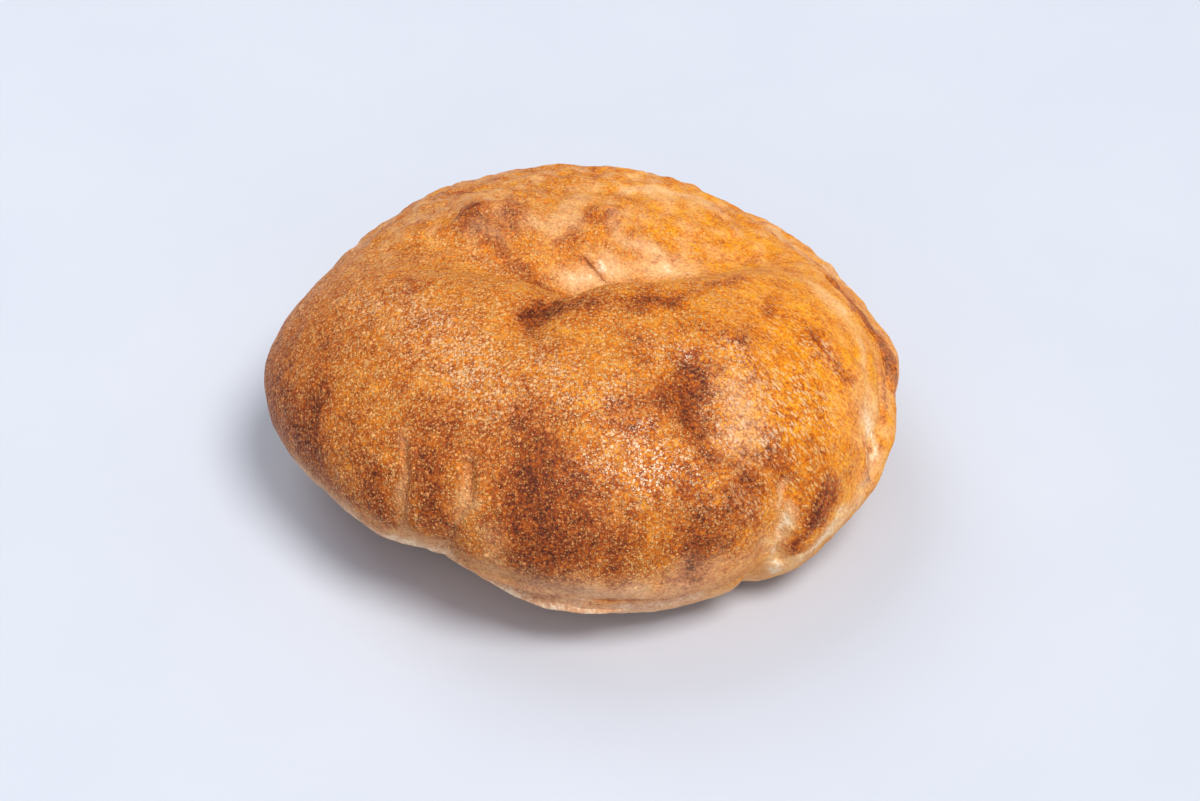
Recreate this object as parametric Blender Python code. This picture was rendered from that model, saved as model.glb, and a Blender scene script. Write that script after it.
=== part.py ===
"""A lepinja: a small round flatbread of leavened dough that has puffed up in a hot oven.

It is one solid. A flat base and a bulging girth carry a domed top, which has sunk into a hollow
behind the middle, so that a high front lobe stands over a lower rear one. Creases run down the
front, and the rim where the top skin meets the base shows as a ragged ridge on the right.
Metres, +Z up. The origin is the middle of the base, and the front is towards -Y.
"""

import math

import bmesh
import bpy
import numpy as np

MM = 0.001

# Driving dimensions of the whole loaf
WIDTH = 160 * MM
DEPTH = 152 * MM
HEIGHT = 64 * MM

# The plain puffed form, before its lobes and creases
GIRTH_HEIGHT = 27 * MM
GIRTH_X = 78 * MM
GIRTH_Y = 75 * MM
DOME_RISE = 36 * MM
DOME_FULLNESS = 0.94
BELLY_DROP = 34 * MM
BELLY_FULLNESS = 0.86
BASE_ROUNDING = 2.5 * MM

# Each side of the cube that is blown up into the ball of skin has this many squares along an edge
SQUARES = 32


def clear_scene():
    for obj in list(bpy.data.objects):
        bpy.data.objects.remove(obj, do_unlink=True)


def ball_of_squares(squares):
    """A cube cut into squares and blown up into an even unit ball, as a bmesh."""
    bm = bmesh.new()
    bmesh.ops.create_cube(bm, size=2.0)
    bmesh.ops.subdivide_edges(bm, edges=bm.edges[:], cuts=squares - 1, use_grid_fill=True)
    for vert in bm.verts:
        for axis in range(3):
            vert.co[axis] = math.tan(vert.co[axis] * math.pi / 4)
        vert.co.normalize()
    return bm


def girth_radius(azimuth):
    """The plan radius at an azimuth: an ellipse that wanders a little, as hand-shaped dough does."""
    ellipse = 1 / np.hypot(np.cos(azimuth) / GIRTH_X, np.sin(azimuth) / GIRTH_Y)
    wander = 0.010 * np.cos(2 * azimuth + 0.6) + 0.008 * np.cos(3 * azimuth - 0.9)
    wander = wander + 0.005 * np.cos(5 * azimuth + 2.0)
    return ellipse * (1 + wander)


def plain_form(directions):
    """Points of the plain puffed form for unit directions: a dome on a belly, cut flat at the base."""
    azimuth = np.arctan2(directions[:, 1], directions[:, 0])
    level = np.clip(np.hypot(directions[:, 0], directions[:, 1]), 0, 1)
    rise = directions[:, 2]
    upper = rise >= 0
    fullness = np.where(upper, DOME_FULLNESS, BELLY_FULLNESS)
    radius = girth_radius(azimuth) * level**fullness
    reach = np.where(upper, DOME_RISE, BELLY_DROP)
    height = GIRTH_HEIGHT + np.sign(rise) * reach * np.abs(rise) ** fullness
    return np.column_stack([radius * np.cos(azimuth), radius * np.sin(azimuth), height])


def rest_on_base(points):
    """Flattens what is under the base plane, with a soft turn from the belly into the flat."""
    height = points[:, 2]
    turn = (np.maximum(height, -BASE_ROUNDING) + BASE_ROUNDING) ** 2 / (4 * BASE_ROUNDING)
    points[:, 2] = np.where(height < BASE_ROUNDING, turn, height)
    return points


def outward(points):
    """Unit normals of the plain form, taken as those of an ellipsoid through it."""
    reach = np.where(points[:, 2] > GIRTH_HEIGHT, DOME_RISE, BELLY_DROP)
    slope = np.column_stack(
        [points[:, 0] / GIRTH_X**2, points[:, 1] / GIRTH_Y**2, (points[:, 2] - GIRTH_HEIGHT) / reach**2]
    )
    return slope / np.linalg.norm(slope, axis=1, keepdims=True)


def on_top(x, y):
    """The point of the plain dome over a plan position in millimetres."""
    azimuth = math.atan2(y, x)
    share = math.hypot(x, y) * MM / girth_radius(azimuth)
    level = min(share, 1.0) ** (1 / DOME_FULLNESS)
    rise = math.sqrt(1 - level**2)
    return np.array([x * MM, y * MM, GIRTH_HEIGHT + DOME_RISE * rise**DOME_FULLNESS])


def on_side(azimuth, height):
    """The point of the plain form at an azimuth in degrees and a height in millimetres."""
    angle = math.radians(azimuth)
    above = height * MM - GIRTH_HEIGHT
    reach, fullness = (DOME_RISE, DOME_FULLNESS) if above > 0 else (BELLY_DROP, BELLY_FULLNESS)
    rise = (abs(above) / reach) ** (1 / fullness)
    radius = girth_radius(angle) * math.sqrt(1 - rise**2) ** fullness
    return np.array([radius * math.cos(angle), radius * math.sin(angle), height * MM])


def swellings(points, places):
    """Height of round swellings of the skin, or of dents where the height is below zero.

    Each place is a centre, with a radius and a height in millimetres.
    """
    form = np.zeros(len(points))
    for centre, radius, height in places:
        distance = np.linalg.norm(points - centre, axis=1)
        form += height * MM * np.exp(-((distance / (radius * MM)) ** 2))
    return form


def crease(points, normals, path, right_width, left_width):
    """Depth of a crease that follows a path of (place, depth) pairs, below zero where it sinks.

    Seen from outside with the path running upwards, its two flanks have the given widths.
    """
    nearest = np.full(len(points), np.inf)
    depth = np.zeros(len(points))
    width = np.ones(len(points))
    for (start, depth_start), (end, depth_end) in zip(path, path[1:]):
        run = end - start
        share = np.clip((points - start) @ run / (run @ run), 0, 1)
        offset = points - start - share[:, None] * run
        distance = np.linalg.norm(offset, axis=1)
        side = np.einsum("ij,ij->i", offset, np.cross(run, normals))
        closer = distance < nearest
        nearest = np.where(closer, distance, nearest)
        depth = np.where(closer, depth_start + share * (depth_end - depth_start), depth)
        width = np.where(closer, np.where(side > 0, right_width, left_width), width)
    return -depth * MM * np.exp(-((nearest / (width * MM)) ** 2))


def hollow_behind_the_middle(points, normals):
    """The sunken hollow: a long curved valley with a steep front wall and a slow rise to the rear."""
    valley = [
        (on_top(-54, 18), 0.0),
        (on_top(-32, 8), 4.5),
        (on_top(-12, 4), 10.0),
        (on_top(3, 3), 14.5),
        (on_top(20, 5), 13.0),
        (on_top(40, 15), 8.0),
        (on_top(60, 25), 0.0),
    ]
    sunken_rear = swellings(points, [(on_top(5, 30), 28, -5.0)])
    return crease(points, normals, valley, 8.5, 17) + sunken_rear


def pinch(points, normals):
    """The fold that runs forward out of the hollow and ends in a pinch between two lobes."""
    fold = [
        (on_top(-8, -34), 0.5),
        (on_top(-9, -22), 4.0),
        (on_top(-5, -15), 4.5),
        (on_top(2, -4), 6.0),
    ]
    return crease(points, normals, fold, 4, 5.5)


def crack_in_the_hollow(points, normals):
    """The crack that runs down the sunken skin behind the crest."""
    crack = [(on_top(-2, 23), 0.4), (on_top(3, 18), 1.2), (on_top(7, 12), 1.0)]
    return crease(points, normals, crack, 2.5, 2.5)


def lobes(points):
    """The swellings of the top: broad lobes front right and left, a rear one, knobs and dents."""
    places = [
        (on_top(16, -24), 30, 2.5),
        (on_top(-42, -10), 26, 1.5),
        (on_top(-22, 30), 9, 3.0),
        (on_top(-39, 26), 6, 1.6),
        (on_top(6, 33), 4.5, 2.2),
        (on_top(-1, 25), 4.5, 2.0),
        (on_top(28, -35), 5, -2.0),
        (on_top(28, -45), 5.5, -2.0),
        (on_top(38, -28), 8, 1.6),
        (on_top(42, -46), 9, 1.8),
        (on_top(-2, -46), 16, 1.2),
        (on_top(62, -17), 6, 1.4),
    ]
    return swellings(points, places)


def rear_shoulders(points):
    """The rear of the dome, drawn in on the left and sunk behind the rim on the right."""
    places = [
        (on_side(138, 38), 42, -5.5),
        (on_side(160, 34), 26, -3.5),
        (on_side(36, 47), 32, -6.0),
    ]
    return swellings(points, places)


def uneven_belly(points):
    """The belly: drawn up off the table at the front left, and full down to it at the front right."""
    places = [
        (on_side(-146, 6), 34, -7.0),
        (on_side(-112, 8), 18, -8.0),
        (on_side(-72, 10), 14, 1.6),
        (on_side(-42, 10), 24, 5.2),
    ]
    return swellings(points, places)


def front_creases(points, normals):
    """Creases down the front and side, where the skin folded as it puffed."""
    left = [
        (on_side(-128, 46), 0.4),
        (on_side(-124, 36), 1.6),
        (on_side(-121, 24), 2.2),
        (on_side(-121, 8), 0.4),
    ]
    middle = [
        (on_side(-112, 47), 0.4),
        (on_side(-113, 36), 1.8),
        (on_side(-114, 26), 3.0),
        (on_side(-115, 8), 0.4),
    ]
    right = [
        (on_side(-48, 45), 0.5),
        (on_side(-50, 37), 2.4),
        (on_side(-52, 24), 4.2),
        (on_side(-53, 13), 4.6),
        (on_side(-54, 4), 1.0),
    ]
    form = crease(points, normals, left, 3.2, 3.2)
    form += crease(points, normals, middle, 3.6, 3.6)
    form += crease(points, normals, right, 3.6, 3.6)
    return form


def seam_rim(points, normals):
    """The rim where the top skin meets the base: a groove over a lip, and a ridge on the right."""
    lip = [(-120, 28), (-114, 27), (-104, 24), (-94, 22), (-85, 19), (-77, 15), (-64, 14)]
    groove = [(on_side(azimuth, height), 1.2) for azimuth, height in lip]
    scallops = [
        (on_side(-36, 20), -0.8),
        (on_side(-28, 23), -3.2),
        (on_side(-18, 27), -4.4),
        (on_side(-9, 29), -2.0),
        (on_side(-2, 30), -3.8),
        (on_side(5, 30), -3.4),
        (on_side(13, 28), -2.2),
        (on_side(24, 30), -2.8),
        (on_side(36, 32), -3.6),
        (on_side(48, 31), -3.8),
        (on_side(60, 29), -2.6),
        (on_side(74, 28), -0.4),
    ]
    return crease(points, normals, groove, 2.2, 2.2) + crease(points, normals, scallops, 3.6, 4.2)


def loaf_form(directions):
    """The whole skin for unit directions, brought to the driving dimensions."""
    plain = plain_form(directions)
    normals = outward(plain)
    relief = lobes(plain) + rear_shoulders(plain) + uneven_belly(plain)
    for fold in (hollow_behind_the_middle, pinch, crack_in_the_hollow, front_creases, seam_rim):
        relief += fold(plain, normals)
    skin = rest_on_base(plain + normals * relief[:, None])
    low, high = skin.min(axis=0), skin.max(axis=0)
    skin -= [(low[0] + high[0]) / 2, (low[1] + high[1]) / 2, low[2]]
    return skin * np.array([WIDTH, DEPTH, HEIGHT]) / (high - low)


def crust_material():
    material = bpy.data.materials.new("baked_crust")
    material.use_nodes = True
    shader = material.node_tree.nodes["Principled BSDF"]
    shader.inputs["Base Color"].default_value = (0.58, 0.25, 0.06, 1)
    shader.inputs["Roughness"].default_value = 0.45
    shader.inputs["Metallic"].default_value = 0.0
    return material


def make_lepinja():
    bm = ball_of_squares(SQUARES)
    directions = np.array([vert.co[:] for vert in bm.verts])
    for vert, place in zip(bm.verts, loaf_form(directions)):
        vert.co = place
    flat = [face for face in bm.faces if all(vert.co.z < 1e-7 for vert in face.verts)]
    bmesh.ops.dissolve_faces(bm, faces=flat)
    bmesh.ops.recalc_face_normals(bm, faces=bm.faces[:])
    mesh = bpy.data.meshes.new("lepinja")
    bm.to_mesh(mesh)
    bm.free()
    mesh.materials.append(crust_material())
    mesh.shade_smooth()
    loaf = bpy.data.objects.new("lepinja", mesh)
    parts = bpy.data.collections.new("lepinja")
    bpy.context.scene.collection.children.link(parts)
    parts.objects.link(loaf)
    return loaf


clear_scene()
make_lepinja()
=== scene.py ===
import math

import bmesh
import bpy
import numpy as np
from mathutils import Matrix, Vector, noise
from mathutils.bvhtree import BVHTree


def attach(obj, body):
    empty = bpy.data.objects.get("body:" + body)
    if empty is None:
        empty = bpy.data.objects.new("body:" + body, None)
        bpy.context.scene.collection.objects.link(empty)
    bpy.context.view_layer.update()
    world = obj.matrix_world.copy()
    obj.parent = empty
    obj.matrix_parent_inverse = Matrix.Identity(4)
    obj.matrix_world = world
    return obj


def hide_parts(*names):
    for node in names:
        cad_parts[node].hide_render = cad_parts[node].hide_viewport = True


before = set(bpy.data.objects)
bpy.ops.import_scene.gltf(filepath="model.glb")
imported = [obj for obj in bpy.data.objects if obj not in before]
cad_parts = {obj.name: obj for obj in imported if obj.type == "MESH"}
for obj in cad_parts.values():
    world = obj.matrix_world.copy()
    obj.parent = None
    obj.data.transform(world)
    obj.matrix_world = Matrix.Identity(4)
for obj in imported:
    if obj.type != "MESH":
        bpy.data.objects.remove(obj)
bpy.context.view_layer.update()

MM = 0.001


# The crust
# The skin of a small puffed flatbread: wheat dough that blistered, browned and creased in a hot
# oven. It is one skin all round, pulled down into a hollow behind the middle.

def shade(red, green, blue):
    """A colour given as it looks on a screen, turned into light values for a shader."""
    light = [((c / 255 + 0.055) / 1.055) ** 2.4 for c in (red, green, blue)]
    return (*light, 1.0)


def crust_skin(node, rounds):
    """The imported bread's skin with its triangles paired up again and then rounded to a fine mesh."""
    skin = bmesh.new()
    skin.from_mesh(node.data)
    bmesh.ops.remove_doubles(skin, verts=skin.verts[:], dist=0.001 * MM)
    base = [face for face in skin.faces if all(vert.co.z < 0.01 * MM for vert in face.verts)]
    bmesh.ops.dissolve_faces(skin, faces=base)
    bmesh.ops.join_triangles(
        skin,
        faces=[face for face in skin.faces if len(face.verts) == 3],
        angle_face_threshold=math.radians(50),
        angle_shape_threshold=math.radians(60),
    )
    mesh = bpy.data.meshes.new("crust_coarse")
    skin.to_mesh(mesh)
    skin.free()
    coarse = bpy.data.objects.new("crust_coarse", mesh)
    bpy.context.scene.collection.objects.link(coarse)
    rounding = coarse.modifiers.new("rounding", "SUBSURF")
    rounding.levels = rounding.render_levels = rounds
    fine = bpy.data.meshes.new_from_object(coarse.evaluated_get(bpy.context.evaluated_depsgraph_get()))
    bpy.data.objects.remove(coarse)
    fine.name = "crust"
    return fine


def on_skin(place):
    """A place in millimetres, moved straight on to the skin."""
    place = np.array(place) * MM
    nearest = np.argmin(np.sum((skin_points - place) ** 2, axis=1))
    return place + ((skin_points[nearest] - place) @ skin_normals[nearest]) * skin_normals[nearest]


def nearness(points, path, reach):
    """How near each point is to a path of places in millimetres, from 1 on it down to 0."""
    nearest = np.full(len(points), np.inf)
    path = [on_skin(place) for place in path]
    for start, end in zip(path, path[1:]):
        run = end - start
        length = max(run @ run, 1e-12)
        share = np.clip((points - start) @ run / length, 0, 1)
        nearest = np.minimum(nearest, np.linalg.norm(points - start - share[:, None] * run, axis=1))
    return np.exp(-((nearest / (reach * MM)) ** 2))


def grain(points, size, seed):
    """Smooth noise from about -1 to 1 whose lumps are about `size` millimetres across."""
    spot = Vector((seed * 7.31, seed * 3.17, seed * 5.53))
    return np.array([noise.noise(Vector(point) / (size * MM) + spot) for point in points])


# The way that the skin's fine wrinkles run on the right shoulder
DOWNHILL = (0.64, -0.40, -0.65)


def drawn_out(points, share):
    """The points squeezed along the way that the fine wrinkles run."""
    downhill = np.array(DOWNHILL)
    return points - share * (points @ downhill)[:, None] * downhill


crust_mesh = crust_skin(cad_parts["lepinja"], 2)
count = len(crust_mesh.vertices)
points = np.empty(count * 3)
crust_mesh.vertices.foreach_get("co", points)
points = points.reshape(-1, 3)
normals = np.empty(count * 3)
crust_mesh.vertices.foreach_get("normal", normals)
normals = normals.reshape(-1, 3)
skin_points, skin_normals = points.copy(), normals

# Where each point lies: how far to the right and to the front, from -1 to 1, and its height in
# millimetres; the rest are shares, from 0 to 1, of the places whose skin differs
above_base = np.clip(points[:, 2] / (6 * MM), 0, 1)
side = np.clip(points[:, 0] / (80 * MM), -1, 1)
front = np.clip(-points[:, 1] / (76 * MM), -1, 1)
height = points[:, 2] / MM
right_edge = np.clip((side - 0.72) / 0.2, 0, 1)
rear = np.clip((-front - 0.05) / 0.4, 0, 1)
wrinkled = np.clip((side - 0.36) / 0.25, 0, 1) * np.clip((front + 0.1) / 0.3, 0, 1) * (1 - right_edge)

# The crack in the hollow, as places in millimetres
HOLLOW_CRACK = [(-2, 17, 51), (0, 17, 50), (2, 16, 49), (3, 14, 48), (5, 10, 47)]
# Fine folds of the skin: path in millimetres, width, and height, below zero where it sinks
folds = [
    (HOLLOW_CRACK, 0.8, -1.3),
    ([(-3, 19, 51), (0, 19, 51), (4, 18, 50), (7, 13, 48)], 1.0, 0.8),
    ([(3, 16, 49), (2, 18, 51), (3, 21, 52)], 0.8, 0.6),
    ([(-31, -66, 20), (-24, -69, 19), (-18, -71, 18), (-10, -73, 18), (-2, -74, 17)], 1.2, -1.3),
    ([(-8, -75, 20), (0, -75, 18), (10, -75, 17), (20, -72, 16), (29, -69, 14)], 0.9, -0.5),
    ([(-32, -65, 24), (-24, -69, 23), (-16, -71, 22), (-6, -74, 21)], 1.4, 0.6),
    ([(30, -67, 13), (38, -65, 17)], 0.9, -0.8),
    ([(-42, -50, 47), (-41, -57, 42), (-42, -61, 32), (-41, -61, 26)], 1.0, -0.8),
    ([(-40, -51, 47), (-39, -57, 42), (-40, -62, 32)], 0.9, 0.4),
    ([(-26, -59, 48), (-26, -65, 42), (-30, -66, 34), (-32, -64, 24)], 1.1, -1.1),
    ([(-24, -60, 48), (-23, -66, 42), (-27, -68, 34), (-29, -67, 27)], 0.9, 0.5),
    ([(-29, -61, 45), (-31, -63, 40), (-34, -63, 32)], 0.9, 0.4),
    ([(48, -54, 39), (48, -57, 33), (47, -58, 27), (47, -59, 17)], 1.1, -1.8),
    ([(69, -33, 33), (71, -35, 29), (71, -38, 26)], 0.9, -1.0),
    ([(66, -36, 35), (67, -37, 31), (67, -40, 27)], 1.4, 0.9),
    ([(73, -9, 38), (73, -15, 36), (73, -22, 33), (72, -28, 32)], 0.9, -0.7),
    ([(65, 16, 43), (67, 12, 42), (69, 8, 41), (71, 4, 39)], 1.4, -0.6),
    ([(61, -16, 50), (64, -17, 47), (68, -20, 42)], 1.1, 0.9),
    ([(62, -13, 49), (66, -14, 45), (70, -15, 41)], 1.0, -0.7),
    ([(34, -25, 60), (37, -23, 59), (40, -26, 58)], 1.1, 0.6),
    ([(54, -15, 53), (56, -19, 52), (58, -20, 50)], 1.0, 0.5),
    ([(35, -66, 34), (34, -67, 31), (31, -68, 30), (29, -70, 29)], 0.9, 0.6),
    ([(34, -67, 33), (32, -68, 31), (30, -69, 30)], 0.9, -0.5),
    ([(14, -68, 43), (13, -72, 36), (12, -75, 28)], 1.2, -0.4),
    ([(16, -66, 44), (16, -72, 35), (15, -74, 24)], 1.2, 0.4),
    ([(19, -67, 41), (19, -72, 33), (18, -73, 23)], 1.2, -0.4),
    ([(5, -75, 33), (5, -76, 24)], 1.2, -0.3),
    ([(-41, 23, 54), (-38, 24, 55), (-35, 22, 55)], 1.3, 0.7),
    ([(-40, 52, 44), (-36, 54, 45)], 1.5, 0.8),
    ([(-31, 25, 56), (-27, 29, 57), (-21, 31, 57), (-17, 30, 56)], 2.2, 1.3),
    ([(-27, 24, 56), (-24, 27, 57), (-19, 27, 56)], 1.3, -0.6),
    ([(-23, 19, 55), (-20, 15, 53)], 2.2, 0.8),
    ([(4, 31, 55), (6, 33, 54), (8, 30, 54)], 1.9, 1.3),
    ([(-5, 20, 52), (-2, 22, 53), (0, 23, 53)], 1.7, 1.2),
    ([(13, 26, 53), (21, 18, 50)], 1.8, 0.6),
    ([(32, -33, 58), (34, -37, 57), (33, -43, 54), (31, -49, 52)], 1.5, 0.5),
    ([(24, -34, 58), (27, -41, 56), (27, -50, 52)], 2.4, -0.6),
    ([(-6, -10, 58), (-1, -15, 63), (7, -14, 64)], 1.2, 0.3),
    ([(-8, -13, 59), (-12, -17, 59)], 1.4, -1.3),
    ([(-12, -20, 60), (-13, -27, 60)], 1.1, -0.5),
    ([(28, -53, 50), (29, -58, 47), (31, -60, 44)], 1.1, -0.5),
    ([(37, -54, 47), (40, -55, 45), (44, -51, 45)], 1.1, -0.5),
    ([(38, -59, 42), (41, -60, 38), (39, -63, 35)], 1.1, -0.5),
]
# How far the skin rises or sinks, in millimetres: soft lumps all over, more of them at the rear,
# wrinkles on the right shoulder, and then the folds
relief = 0.35 * grain(points, 9, 1) + 0.18 * grain(points, 3.6, 2) + 0.12 * grain(points, 2.2, 3)
relief += rear * (0.9 * grain(points, 6.5, 4) + 0.4 * grain(points, 3.2, 5))
relief += wrinkled * 0.30 * grain(drawn_out(points, 0.72), 2.6, 6)
relief += wrinkled * 0.4 * grain(drawn_out(points, 0.5), 7, 7)
relief *= above_base
for path, width, rise in folds:
    relief += rise * nearness(points, path, width)
points += normals * relief[:, None] * MM
points[:, 2] = np.maximum(points[:, 2], 0)
crust_mesh.vertices.foreach_set("co", points.ravel())
crust_mesh.update()
crust_mesh.shade_smooth()

# Darker patches, most of them toasted and some painted shade in the pinch and the lip's groove: start and
# end in millimetres, radius, and how dark
toasted_and_shaded = [
    # The first three patches are the pinch, painted near-black: partly burnt crust, partly painted shade in
    # the fold
    ((-13, -19, 60), (-8, -14, 59), 2.4, 1.0),
    ((-10, -22, 61), (-6, -18, 62), 1.8, 0.6),
    ((-12, -22, 59), (-12, -27, 61), 1.5, 0.4),
    ((-5, -19, 63), (2, -17, 64), 1.6, 0.35),
    ((2, -20, 64), (12, -18, 64), 3.0, 0.35),
    ((14, -17, 64), (22, -16, 63), 2.4, 0.7),
    ((26, -11, 62), (40, 1, 57), 1.5, 0.35),
    ((-28, 27, 57), (-17, 31, 56), 2.4, 0.45),
    ((-27, 23, 56), (-19, 25, 56), 2.2, 0.4),
    ((-27, 29, 57), (-31, 23, 56), 1.5, 0.3),
    ((-23, 20, 55), (-20, 15, 53), 2.4, 0.4),
    ((-17, 12, 52), (-10, 4, 50), 1.6, 0.35),
    ((4, 31, 54), (7, 29, 53), 1.7, 0.5),
    ((-5, 20, 52), (-1, 22, 53), 1.5, 0.5),
    ((-39, 48, 47), (-31, 45, 51), 2.0, 0.4),
    ((-40, -6, 60), (-43, -8, 59), 2.0, 0.25),
    ((26, -36, 57), (26, -40, 56), 3.0, 0.85),
    ((25, -44, 54), (26, -49, 52), 3.0, 0.95),
    ((26, -52, 51), (29, -57, 47), 2.2, 0.5),
    ((20, -44, 56), (20, -47, 55), 2.2, 0.35),
    ((8, -49, 57), (17, -46, 56), 2.2, 0.35),
    ((8, -53, 55), (16, -52, 54), 2.0, 0.3),
    ((14, -33, 61), (15, -37, 60), 2.2, 0.25),
    ((35, -26, 60), (38, -26, 59), 1.8, 0.35),
    ((46, -9, 56), (46, -12, 56), 2.0, 0.5),
    ((56, -16, 52), (58, -20, 50), 2.0, 0.4),
    ((61, -21, 48), (64, -23, 45), 1.8, 0.4),
    ((-10, -52, 56), (-11, -62, 49), 4.5, 0.25),
    ((-11, -62, 49), (-12, -70, 41), 6.0, 0.5),
    ((-12, -70, 41), (-8, -75, 31), 6.5, 0.5),
    ((-8, -74, 35), (-5, -75, 32), 3.5, 0.45),
    ((-3, -64, 48), (2, -73, 37), 4.5, 0.45),
    ((7, -75, 33), (9, -75, 25), 2.6, 0.5),
    ((11, -72, 38), (12, -72, 36), 2.5, 0.3),
    # The next two lines are painted shade in the groove under the front lip
    ((-31, -66, 19), (-10, -73, 17), 1.0, 0.5),
    ((-10, -73, 17), (4, -75, 17), 0.7, 0.4),
    ((27, -69, 35), (25, -71, 25), 3.0, 0.7),
    ((26, -61, 45), (27, -66, 40), 2.8, 0.4),
    ((30, -69, 29), (34, -67, 30), 1.8, 0.4),
    ((37, -57, 45), (39, -59, 40), 2.8, 0.5),
    ((44, -52, 45), (46, -52, 42), 2.5, 0.4),
    ((35, -64, 38), (38, -64, 35), 3.0, 0.4),
    ((59, -49, 33), (56, -54, 28), 2.1, 0.8),
    ((56, -54, 28), (52, -59, 21), 1.7, 0.65),
    ((-64, -29, 44), (-64, -39, 37), 2.6, 0.7),
    ((-70, -30, 38), (-64, -42, 32), 3.0, 0.35),
    ((-62, -17, 50), (-63, -24, 48), 2.0, 0.4),
    ((-71, -23, 40), (-68, -34, 34), 3.0, 0.3),
    ((-55, -40, 45), (-54, -44, 44), 2.2, 0.25),
    ((-37, -54, 47), (-35, -64, 38), 3.2, 0.6),
    ((-49, -53, 38), (-47, -58, 33), 2.8, 0.5),
    ((-52, -48, 42), (-50, -52, 39), 2.2, 0.3),
    ((-36, -46, 52), (-24, -56, 50), 4.5, 0.3),
    ((-15, -51, 55), (-12, -54, 54), 3.0, 0.3),
    ((-33, -65, 36), (-32, -66, 30), 2.0, 0.35),
    ((54, 36, 40), (62, 22, 38), 1.5, 0.4),
    ((66, 14, 42), (70, 7, 40), 1.8, 0.6),
    ((70, 7, 40), (75, 2, 37), 2.4, 0.8),
    ((77, -4, 33), (78, -11, 31), 1.6, 0.55),
    ((74, -9, 37), (74, -20, 34), 0.8, 0.45),
    ((74, -20, 34), (73, -29, 31), 0.8, 0.35),
    ((69, -35, 31), (70, -39, 26), 1.1, 0.7),
    ((71, -36, 27), (74, -30, 29), 0.6, 0.35),
    ((-70, -6, 46), (-74, -17, 39), 2.2, 0.25),
]
# Pale places, where the skin stretched late or lay hidden from the heat
pale = [
    ((-2, 11, 48), (4, 14, 48), 3.5, 0.8),
    ((7, 15, 49), (17, 14, 49), 2.2, 0.5),
    ((21, 16, 49), (27, 15, 48), 2.5, 0.4),
    ((9, 25, 53), (21, 17, 49), 1.8, 0.55),
    ((12, 47, 51), (34, 49, 45), 1.8, 0.5),
    ((2, 47, 52), (-6, 24, 54), 3.5, 0.2),
    ((-15, 26, 55), (-6, 25, 55), 2.5, 0.3),
    ((-26, 23, 56), (-22, 21, 56), 2.2, 0.3),
    ((49, 54, 34), (58, 26, 42), 1.8, 0.4),
    ((57, 9, 49), (65, 0, 46), 2.2, 0.45),
    ((48, -54, 39), (47, -56, 35), 1.0, 0.7),
    ((48, -57, 33), (47, -59, 22), 1.5, 1.0),
    ((47, -59, 19), (46, -58, 10), 1.5, 1.0),
    ((50, -60, 16), (57, -56, 17), 1.5, 0.6),
    ((57, -55, 17), (64, -48, 23), 1.5, 0.6),
    ((-42, -48, 48), (-41, -57, 42), 1.3, 0.22),
    ((-41, -57, 42), (-42, -61, 28), 1.4, 0.32),
    ((-26, -58, 49), (-26, -65, 42), 1.5, 0.15),
    ((-26, -65, 42), (-32, -64, 26), 1.8, 0.3),
    ((-70, -33, 23), (-56, -50, 22), 3.0, 0.75),
    ((-56, -50, 22), (-42, -59, 21), 3.0, 0.8),
    ((-42, -59, 21), (-34, -63, 21), 3.0, 0.8),
    ((-21, -70, 36), (-19, -73, 27), 2.5, 0.25),
    ((-5, -76, 24), (14, -74, 22), 2.2, 0.3),
    ((-32, -65, 19), (-14, -71, 15), 2.0, 0.7),
    ((-14, -71, 14), (10, -73, 13), 2.0, 0.6),
    ((10, -73, 13), (28, -67, 12), 2.0, 0.5),
    ((70, -23, 39), (68, -32, 35), 3.0, 0.4),
    ((68, -27, 38), (70, -30, 34), 1.8, 0.7),
    ((70, -30, 34), (72, -34, 29), 1.5, 0.9),
    ((72, -35, 28), (68, -43, 24), 1.5, 0.8),
    ((66, -44, 22), (60, -52, 18), 2.2, 0.6),
    ((60, -52, 18), (50, -60, 12), 2.2, 0.6),
    ((69, -8, 43), (70, -16, 41), 1.5, 0.4),
    # Painted highlight: the next patch, on the front of the right shoulder, is paler where a highlight
    # falls
    ((36, -40, 55), (38, -51, 49), 4.0, 0.25),
    ((42, -61, 26), (44, -59, 21), 1.8, 0.4),
    ((31, -69, 27), (40, -65, 23), 2.2, 0.2),
]
# Glossy places, where the raised flecks get a glossier coat and painted highlights: start and end in
# millimetres, radius, share
glossy_and_painted_glint_places = [
    ((35, -29, 59), (39, -34, 56), 3.0, 1.0),
    ((34, -43, 54), (38, -52, 49), 4.0, 0.9),
    ((38, -41, 54), (43, -50, 48), 4.0, 0.9),
    ((46, -39, 51), (49, -43, 48), 4.0, 0.6),
    ((4, -48, 58), (9, -43, 59), 3.5, 0.6),
    ((14, -55, 53), (17, -61, 48), 5.0, 0.5),
    ((-5, -43, 60), (-2, -48, 58), 4.0, 0.5),
    ((-36, -23, 59), (-29, -30, 59), 6.0, 0.5),
    ((-26, -39, 57), (-19, -45, 57), 6.0, 0.5),
    ((-54, -6, 55), (-44, -14, 59), 5.0, 0.35),
    ((18, 16, 49), (26, 14, 49), 3.0, 0.5),
    ((58, -19, 51), (65, -22, 44), 2.5, 0.5),
    ((25, -61, 45), (31, -63, 41), 4.0, 0.35),
    ((38, -61, 39), (42, -61, 34), 3.0, 0.3),
    ((4, -62, 49), (14, -65, 46), 5.0, 0.4),
    ((-26, 10, 54), (-21, 9, 53), 3.0, 0.3),
    ((18, -32, 61), (26, -33, 58), 4.0, 0.35),
    ((-10, -36, 61), (-5, -40, 61), 3.0, 0.5),
    ((52, -32, 50), (59, -37, 43), 3.0, 0.5),
]


def union(shares):
    """Several overlapping shares taken together, never above 1."""
    return 1 - np.prod([1 - share for share in shares], axis=0)


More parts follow.
